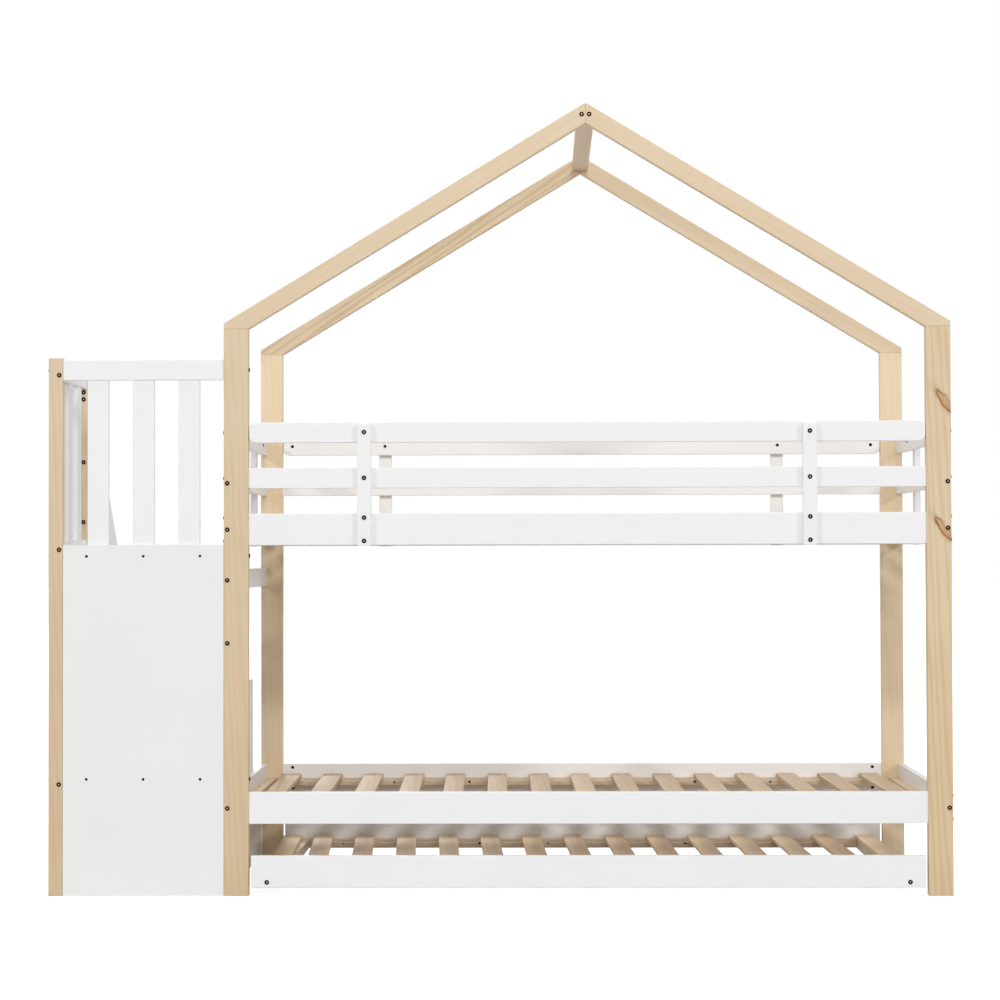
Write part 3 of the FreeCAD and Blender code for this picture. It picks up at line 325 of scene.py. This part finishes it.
# How a row lies: its shift along the bed, and the turn of its first and of its last slat
straight = (0, 0, 0)
lower_lie = (0, math.radians(1.0), math.radians(1.0))
trundle_lie = (-0.014, math.radians(2.9), math.radians(2.0))
trundle_end_lie = (-0.004, math.radians(1.7), math.radians(0.5))


def bare_pine(name, turn, pale=(0.645, 0.497, 0.333), deep=(0.515, 0.37, 0.222)):
    """Sawn pine that shifts its tone with each board's own number."""
    finish = lacquered_pine(name, turn, pale, deep, ring_share=0.35)
    make = finish.node_tree.nodes.new
    link = finish.node_tree.links.new
    base = finish.node_tree.nodes["Principled BSDF"].inputs["Base Color"]
    number = make("ShaderNodeAttribute")
    number.attribute_name = "board_tone"
    tone = ramp(make, link, number.outputs["Fac"], (0, darkest_board), (1, palest_board))
    link(mixed(make, link, 1, base.links[0].from_socket, tone, "MULTIPLY"), base)
    return finish


def begin_tree(name, *inputs):
    """Node tree with named inputs, its node maker, its link maker and its input sockets."""
    tree = bpy.data.node_groups.new(name, "GeometryNodeTree")
    tree.interface.new_socket("Geometry", in_out="OUTPUT", socket_type="NodeSocketGeometry")
    for label, kind in inputs:
        tree.interface.new_socket(label, in_out="INPUT", socket_type="NodeSocket" + kind)
    make = tree.nodes.new
    return tree, make, tree.links.new, make("NodeGroupInput").outputs


def end_tree(make, join, shape, finish):
    """Make a tree's shape real, give it its finish and send it out."""
    real = make("GeometryNodeRealizeInstances")
    join(shape, real.inputs["Geometry"])
    paint = make("GeometryNodeSetMaterial")
    join(real.outputs["Geometry"], paint.inputs["Geometry"])
    join(finish, paint.inputs["Material"])
    join(paint.outputs["Geometry"], make("NodeGroupOutput").inputs["Geometry"])


def vector_of(make, join, **parts):
    """Vector with some of its parts taken from sockets."""
    node = make("ShaderNodeCombineXYZ")
    for axis, source in parts.items():
        join(source, node.inputs[axis])
    return node.outputs["Vector"]


def plain_mesh(name, tree, inputs, start=None):
    """Run a tree on a start mesh, or on an empty one, and keep its result as a plain mesh object."""
    source = bpy.data.objects.new(name + "_source", start or bpy.data.meshes.new(name + "_source"))
    bpy.context.scene.collection.objects.link(source)
    run = source.modifiers.new("tree", "NODES")
    run.node_group = tree
    for item in tree.interface.items_tree:
        if item.in_out == "INPUT" and item.name in inputs:
            run[item.identifier] = inputs[item.name]
    bpy.context.view_layer.update()
    graph = bpy.context.evaluated_depsgraph_get()
    mesh = bpy.data.meshes.new_from_object(source.evaluated_get(graph))
    mesh.name = name
    bpy.data.objects.remove(source)
    piece = bpy.data.objects.new(name, mesh)
    bpy.context.scene.collection.objects.link(piece)
    return piece


slat_tree, make, join, sizes = begin_tree(
    "slat_row",
    ("First Slat", "Vector"),
    ("Slat Count", "Int"),
    ("Slat Pitch", "Float"),
    ("Slat Width", "Float"),
    ("Slat Thickness", "Float"),
    ("Slat Length", "Float"),
    ("Eased Edge", "Float"),
    ("Edge Steps", "Int"),
    ("First Turn", "Float"),
    ("Last Turn", "Float"),
    ("Tone Seed", "Int"),
    ("Slat Finish", "Material"),
)
section = make("GeometryNodeCurvePrimitiveQuadrilateral")
join(sizes["Slat Width"], section.inputs["Width"])
join(sizes["Slat Thickness"], section.inputs["Height"])
eased = make("GeometryNodeFilletCurve")
eased.mode = "POLY"
join(section.outputs["Curve"], eased.inputs["Curve"])
join(sizes["Eased Edge"], eased.inputs["Radius"])
join(sizes["Edge Steps"], eased.inputs["Count"])
line = make("GeometryNodeCurvePrimitiveLine")
for end, share in (("Start", -0.5), ("End", 0.5)):
    half_length = worked(make, join, "MULTIPLY", sizes["Slat Length"], share)
    join(vector_of(make, join, Y=half_length), line.inputs[end])
slat = make("GeometryNodeCurveToMesh")
slat.inputs["Fill Caps"].default_value = True
join(line.outputs["Curve"], slat.inputs["Curve"])
join(eased.outputs["Curve"], slat.inputs["Profile Curve"])
row = make("GeometryNodeMeshLine")
join(sizes["Slat Count"], row.inputs["Count"])
join(sizes["First Slat"], row.inputs["Start Location"])
join(vector_of(make, join, X=sizes["Slat Pitch"]), row.inputs["Offset"])
askew = make("ShaderNodeMapRange")
join(make("GeometryNodeInputIndex").outputs["Index"], askew.inputs["Value"])
join(worked(make, join, "SUBTRACT", sizes["Slat Count"], 1), askew.inputs["From Max"])
join(sizes["First Turn"], askew.inputs["To Min"])
join(sizes["Last Turn"], askew.inputs["To Max"])
turned_slat = make("FunctionNodeEulerToRotation")
join(vector_of(make, join, Z=askew.outputs["Result"]), turned_slat.inputs["Euler"])
lay = make("GeometryNodeInstanceOnPoints")
join(row.outputs["Mesh"], lay.inputs["Points"])
join(slat.outputs["Mesh"], lay.inputs["Instance"])
join(turned_slat.outputs["Rotation"], lay.inputs["Rotation"])
chance = make("FunctionNodeRandomValue")
join(sizes["Tone Seed"], chance.inputs["Seed"])
keep = make("GeometryNodeStoreNamedAttribute")
keep.domain = "INSTANCE"
keep.inputs["Name"].default_value = "board_tone"
join(lay.outputs["Instances"], keep.inputs["Geometry"])
join(chance.outputs["Value"], keep.inputs["Value"])
end_tree(make, join, keep.outputs["Geometry"], sizes["Slat Finish"])


def lay_slats(name, count, pitch, lie, box, seed, finish):
    """Row of slats centred in the box of the slats that it stands for."""
    low, high = box
    shift, first_turn, last_turn = lie
    first = (low.x + high.x) / 2 - (count - 1) / 2 * pitch + shift
    return plain_mesh(
        name,
        slat_tree,
        {
            "First Slat": (first, (low.y + high.y) / 2, (low.z + high.z) / 2),
            "Slat Count": count,
            "Slat Pitch": pitch,
            "Slat Width": slat_width,
            "Slat Thickness": high.z - low.z,
            "Slat Length": high.y - low.y,
            "Eased Edge": slat_eased_edge,
            "Edge Steps": slat_edge_steps,
            "First Turn": first_turn,
            "Last Turn": last_turn,
            "Tone Seed": seed,
            "Slat Finish": finish,
        },
    )


slat_pine = bare_pine("slat_pine", along_y)
# Painted light: the trundle slats get a paler copy of the slat pine, which lifts them out of the shade
# under the lower bunk
trundle_slat_pine_painted_light = bare_pine("trundle_slat_pine_painted_light", along_y, pale=(0.92, 0.75, 0.53), deep=(0.80, 0.61, 0.39))
ledger_pine = lacquered_pine("ledger_pine", along_x, pale=(0.76, 0.60, 0.42), deep=(0.62, 0.46, 0.29))
for bunk, lie, seed in (("upper", straight, 11), ("lower", lower_lie, 12)):
    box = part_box(bunk + "_slats")
    slats = lay_slats(bunk + "_slat_row", bunk_slats, slat_pitch, lie, box, seed, slat_pine)
    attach(slats, "frame")
    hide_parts(bunk + "_slats")
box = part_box("trundle_slats")
end_pitch = box[1].x - box[0].x - slat_width
for name, count, pitch, lie, seed in (
    ("trundle_inner_slats", trundle_inner, slat_pitch, trundle_lie, 13),
    ("trundle_end_slats", trundle_ends, end_pitch, trundle_end_lie, 14),
):
    slats = lay_slats(name, count, pitch, lie, box, seed, trundle_slat_pine_painted_light)
    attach(slats, "trundle")
    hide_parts("trundle_slats")
dress(ledger_pine, "upper_ledgers", "lower_ledgers", "trundle_ledgers")

# Slat webbing
# Two white woven tapes under each row of slats keep them apart.
# A tape lies flat against each slat and sags a little in the gap to the next.
webbing_white = bpy.data.materials.new("webbing_white")
webbing_white.use_nodes = True
shader = webbing_white.node_tree.nodes["Principled BSDF"]
shader.inputs["Base Color"].default_value = (0.74, 0.73, 0.70, 1)
shader.inputs["Roughness"].default_value = 0.85
tape_tree, make, join, sizes = begin_tree(
    "slat_webbing",
    ("First Slat", "Vector"),
    ("Last Slat", "Vector"),
    ("Half Pitch", "Float"),
    ("Half Slat Width", "Float"),
    ("Drop", "Float"),
    ("Tape Width", "Float"),
    ("Tape Thickness", "Float"),
    ("Point Count", "Int"),
    ("Tape Finish", "Material"),
)
line = make("GeometryNodeCurvePrimitiveLine")
join(sizes["First Slat"], line.inputs["Start"])
join(sizes["Last Slat"], line.inputs["End"])
points = make("GeometryNodeResampleCurve")
join(line.outputs["Curve"], points.inputs["Curve"])
join(sizes["Point Count"], points.inputs["Count"])
from_first = make("ShaderNodeVectorMath")
from_first.operation = "SUBTRACT"
join(make("GeometryNodeInputPosition").outputs["Position"], from_first.inputs[0])
join(sizes["First Slat"], from_first.inputs[1])
run_along = part_of(make, join, from_first.outputs["Vector"], "X")
to_nearest = worked(make, join, "PINGPONG", run_along, sizes["Half Pitch"])
sag = make("ShaderNodeMapRange")
sag.interpolation_type = "SMOOTHSTEP"
join(to_nearest, sag.inputs["Value"])
join(sizes["Half Slat Width"], sag.inputs["From Min"])
join(sizes["Half Pitch"], sag.inputs["From Max"])
join(sizes["Drop"], sag.inputs["To Max"])
hang = make("GeometryNodeSetPosition")
join(points.outputs["Curve"], hang.inputs["Geometry"])
join(vector_of(make, join, Z=sag.outputs["Result"]), hang.inputs["Offset"])
strip = make("GeometryNodeCurvePrimitiveQuadrilateral")
join(sizes["Tape Width"], strip.inputs["Width"])
join(sizes["Tape Thickness"], strip.inputs["Height"])
tape = make("GeometryNodeCurveToMesh")
tape.inputs["Fill Caps"].default_value = True
join(hang.outputs["Geometry"], tape.inputs["Curve"])
join(strip.outputs["Curve"], tape.inputs["Profile Curve"])
end_tree(make, join, tape.outputs["Mesh"], sizes["Tape Finish"])

tape_width = 0.014
tape_thickness = 0.001
tape_drop = 0.004
points_per_gap = 12
slat_end_margin = 0.075
for row, count, lie, body in (
    ("upper", bunk_slats, straight, "frame"),
    ("lower", bunk_slats, lower_lie, "frame"),
    ("trundle", trundle_inner, trundle_lie, "trundle"),
):
    low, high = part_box(row + "_slats")
    shift, first_turn, last_turn = lie
    middle = (low.x + high.x) / 2 + shift
    reach = (count - 1) / 2 * slat_pitch
    under = low.z - tape_thickness
    for edge, y in (("near", low.y + slat_end_margin), ("far", high.y - slat_end_margin)):
        first = middle - reach - y * math.sin(first_turn)
        last = middle + reach - y * math.sin(last_turn)
        tape_piece = plain_mesh(
            row + "_" + edge + "_webbing",
            tape_tree,
            {
                "First Slat": (first, y, under),
                "Last Slat": (last, y, under),
                "Half Pitch": (last - first) / (count - 1) / 2,
                "Half Slat Width": slat_width / 2,
                "Drop": -tape_drop,
                "Tape Width": tape_width,
                "Tape Thickness": tape_thickness,
                "Point Count": (count - 1) * points_per_gap + 1,
                "Tape Finish": webbing_white,
            },
        )
        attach(tape_piece, body)

# Trundle
# A low frame of white painted side boards on flat pine end rails.
# It rolls out under the lower bunk on four casters and carries a row of slats.
end_rail_pine = lacquered_pine("end_rail_pine", along_y, pale=(0.76, 0.61, 0.43), deep=(0.64, 0.48, 0.31))
dress(long_rail_paint, "trundle_near_board", "trundle_far_board")
dress(end_rail_pine, "trundle_end_rails")

# Casters
# Folded zinc-plated brackets are screwed under the end rails.
# Black nylon wheels turn on riveted axles.
cloud_dark_share = 0.72


def hardware_finish(name, base, smooth, rough, metal=1.0):
    """Slightly cloudy surface of plated steel, or of moulded nylon where metal is 0."""
    finish, make, link, shader, place = begin_finish(name)
    cloud = noise(make, link, place, scale=160, detail=4)["Fac"]
    dark = [part * cloud_dark_share for part in base]
    link(mixed(make, link, cloud, (*base, 1), (*dark, 1)), shader.inputs["Base Color"])
    link(spread(make, link, cloud, low=smooth, high=rough), shader.inputs["Roughness"])
    shader.inputs["Metallic"].default_value = metal
    return finish


zinc_plate = hardware_finish("zinc_plate", (0.62, 0.63, 0.66), smooth=0.28, rough=0.42)
wheel_nylon = hardware_finish("wheel_nylon", (0.045, 0.045, 0.048), smooth=0.45, rough=0.6, metal=0.0)
dress(zinc_plate, "caster_brackets")
dress(wheel_nylon, "near_left_wheel", "near_right_wheel", "far_left_wheel", "far_right_wheel")

# Stair frame
# Pine posts stand beside the bed, with white rails and balusters between them.
# A broad handrail board and two rails slope down along the steps.
stair_slope = math.radians(46)
slope_paint = satin_paint("slope_paint", (stair_slope + math.pi / 2, 0, 0))
dress(post_pine, "stair_front_post", "stair_middle_post", "stair_rear_post")
dress(long_rail_paint, "stair_top_rail", "stair_cross_rails")
dress(end_rail_paint, "stair_side_rails")
dress(strap_paint, "stair_balusters")
dress(slope_paint, "stair_handrail", "stair_sloping_rails")

# Stair panels and treads
# White coated board: a thin back panel is screwed to the cross rails,
# and stepped side panels carry the treads.
board_coat = satin_paint("board_coat", tone=(0.865, 0.868, 0.855), grain=0.03)
dress(board_coat, "stair_back_panel", "stair_side_panels", "stair_treads")

# Fasteners
# Button head bolts, barrel nuts and screws of steel with a dark bronze plating.
# The bolts draw the rails against the posts, and the screws hold ledgers and panel.
dark_plate = hardware_finish("dark_plate", (0.020, 0.010, 0.005), smooth=0.18, rough=0.30)
dress(dark_plate, "long_bolts", "short_bolts", "strap_bolts", "trundle_bolts", "barrel_nuts")
dress(dark_plate, "wood_screws", "trundle_screws")

# Driver sockets
# Each bolt head has a hexagon socket whose floor carries a painted glint: a pale steel disc that stands in
# for the lamps' reflection in the socket.
# The floors are found in the bolts' own meshes, where only they are flat hexagons of the socket's size.
# Painted highlight: a pale steel, much brighter than the dark plating, for the discs that carry the glint
socket_glint_steel = hardware_finish("socket_glint_steel", (0.66, 0.58, 0.49), smooth=0.25, rough=0.40)
socket_flats = 0.004
socket_side = socket_flats / math.sqrt(3)
hexagon_chords = (socket_side, socket_flats, 2 * socket_side)
chord_slack = 0.00004
socket_floor_radius = 0.0017
socket_floor_corners = 16
socket_floor_thickness = 0.0003


def is_hexagon_chord(length):
    """Whether a length joins two corners of the socket's hexagon."""
    return min(abs(length - chord) for chord in hexagon_chords) < chord_slack


def socket_glint_floors(*node_names):
    """Centre of each socket floor and the direction that it faces, from the triangles of the bolts."""
    floors = {}
    for node_name in node_names:
        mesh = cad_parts[node_name].data
        for face in mesh.polygons:
            a, b, c = (mesh.vertices[number].co for number in face.vertices)
            ab, ac = b - a, c - a
            if all(is_hexagon_chord(edge.length) for edge in (ab, ac, c - b)):
                # The circle through any three corners of a hexagon has its middle at the hexagon's middle
                upright = ab.cross(ac)
                to_middle = upright.cross(ab) * ac.length_squared + ac.cross(upright) * ab.length_squared
                middle = a + to_middle / (2 * upright.length_squared)
                # The triangles of one floor agree on its middle to a tenth of a millimetre
                floors[tuple(round(part, 4) for part in middle)] = (middle, face.normal.copy())
    return list(floors.values())


socket_tree, make, join, sizes = begin_tree(
    "socket_glint_floors",
    ("Geometry", "Geometry"),
    ("Floor Radius", "Float"),
    ("Floor Corners", "Int"),
    ("Floor Thickness", "Float"),
    ("Floor Finish", "Material"),
)
disc = make("GeometryNodeMeshCylinder")
join(sizes["Floor Corners"], disc.inputs["Vertices"])
join(sizes["Floor Radius"], disc.inputs["Radius"])
join(sizes["Floor Thickness"], disc.inputs["Depth"])
facing = make("GeometryNodeInputNamedAttribute")
facing.data_type = "FLOAT_VECTOR"
facing.inputs["Name"].default_value = "facing"
aim = make("FunctionNodeAlignRotationToVector")
aim.axis = "Z"
join(facing.outputs["Attribute"], aim.inputs["Vector"])
lay = make("GeometryNodeInstanceOnPoints")
join(sizes["Geometry"], lay.inputs["Points"])
join(disc.outputs["Mesh"], lay.inputs["Instance"])
join(aim.outputs["Rotation"], lay.inputs["Rotation"])
end_tree(make, join, lay.outputs["Instances"], sizes["Floor Finish"])

for body, bolts in (
    ("frame", ("long_bolts", "short_bolts", "strap_bolts")),
    ("trundle", ("trundle_bolts",)),
):
    floors = socket_glint_floors(*bolts)
    places = bpy.data.meshes.new(body + "_socket_places")
    places.from_pydata([middle + normal * socket_floor_thickness / 2 for middle, normal in floors], [], [])
    facing_each = places.attributes.new("facing", "FLOAT_VECTOR", "POINT")
    for number, (middle, normal) in enumerate(floors):
        facing_each.data[number].vector = normal
    glint_floors = plain_mesh(
        body + "_socket_glint_floors",
        socket_tree,
        {
            "Floor Radius": socket_floor_radius,
            "Floor Corners": socket_floor_corners,
            "Floor Thickness": socket_floor_thickness,
            "Floor Finish": socket_glint_steel,
        },
        places,
    )
    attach(glint_floors, body)

# Floor
# A plain white studio floor that keeps a faint shadow under the bed.
# It is lifted to white only where it is seen, so that it adds no light to the bed.
floor_half = 60
floor_lift = 0.90
floor_mesh = bpy.data.meshes.new("studio_floor")
corners = [(x * floor_half, y * floor_half, 0) for x, y in ((-1, -1), (1, -1), (1, 1), (-1, 1))]
floor_mesh.from_pydata(corners, [], [(0, 1, 2, 3)])
floor = bpy.data.objects.new("studio_floor", floor_mesh)
bpy.context.scene.collection.objects.link(floor)
floor_white = bpy.data.materials.new("floor_white")
floor_white.use_nodes = True
shader = floor_white.node_tree.nodes["Principled BSDF"]
shader.inputs["Base Color"].default_value = (0.60, 0.60, 0.60, 1)
shader.inputs["Roughness"].default_value = 0.9
shader.inputs["Specular IOR Level"].default_value = 0.0
shader.inputs["Emission Color"].default_value = (1, 1, 1, 1)


def seen_directly(make, link):
    """Socket that is 1 for rays from the camera, from a mirror or through glass, and 0 for light."""
    ray = make("ShaderNodeLightPath").outputs
    mirrored = worked(make, link, "MAXIMUM", ray["Is Camera Ray"], ray["Is Glossy Ray"])
    return worked(make, link, "MAXIMUM", mirrored, ray["Is Transmission Ray"])


make = floor_white.node_tree.nodes.new
link = floor_white.node_tree.links.new
seen_lift = worked(make, link, "MULTIPLY", seen_directly(make, link), floor_lift)
link(seen_lift, shader.inputs["Emission Strength"])
floor_mesh.materials.append(floor_white)

# Light
# An even white studio sky, three far lamps in front of the bed, one lamp above it and one behind it.
# The far lamps light the near and the rear boards almost alike.
sky_light = 0.42
sky = bpy.data.worlds.new("studio_sky")
bpy.context.scene.world = sky
sky.use_nodes = True
back = sky.node_tree.nodes["Background"]
make = sky.node_tree.nodes.new
link = sky.node_tree.links.new
link(spread(make, link, seen_directly(make, link), low=sky_light, high=1.0), back.inputs["Strength"])
back.inputs["Color"].default_value = (1, 1, 1, 1)
bed_middle = (0, 0, 1.0)


def soft_lamp(name, at, width, power):
    """Broad square lamp aimed at the bed's middle."""
    data = bpy.data.lights.new(name, "AREA")
    data.shape = "SQUARE"
    data.size = width
    data.energy = power
    lamp = bpy.data.objects.new(name, data)
    lamp.location = at
    lamp.rotation_euler = (Vector(bed_middle) - Vector(at)).to_track_quat("-Z", "Y").to_euler()
    bpy.context.scene.collection.objects.link(lamp)


soft_lamp("left_lamp", at=(-19.0, -22.0, 13.0), width=2.0, power=1900)
soft_lamp("key_lamp", at=(2.0, -22.5, 11.5), width=5.75, power=1250)
soft_lamp("right_lamp", at=(20.0, -22.0, 13.0), width=2.0, power=1830)
soft_lamp("top_lamp", at=(0.4, -0.9, 7.0), width=2.0, power=105)
soft_lamp("back_lamp", at=(-6.0, 22.5, 12.0), width=7.5, power=1500)

# Camera
# It stands square to the long side at a seated height, a little right of the middle.
# Its focal length is given in widths of the picture.
eye = Vector((0.1064, -7.4049, 0.9779))
heading = math.radians(-0.923)
climb = math.radians(1.193)
tilt = math.radians(-0.147)
sensor_width = 36
focal_widths = 2.4386
farthest_seen = 500
forward = Vector(
    (math.sin(heading) * math.cos(climb), math.cos(heading) * math.cos(climb), math.sin(climb))
)
level_right = Vector((math.cos(heading), -math.sin(heading), 0))
level_up = level_right.cross(forward)
right = math.cos(tilt) * level_right + math.sin(tilt) * level_up
up = -math.sin(tilt) * level_right + math.cos(tilt) * level_up
lens = bpy.data.cameras.new("photo_camera")
lens.sensor_width = sensor_width
lens.lens = sensor_width * focal_widths
lens.clip_end = farthest_seen
camera = bpy.data.objects.new("photo_camera", lens)
turned = Matrix((right, up, -forward)).transposed().to_4x4()
camera.matrix_world = Matrix.Translation(eye) @ turned
bpy.context.scene.collection.objects.link(camera)
bpy.context.scene.camera = camera
bpy.context.scene.view_settings.view_transform = "Standard"
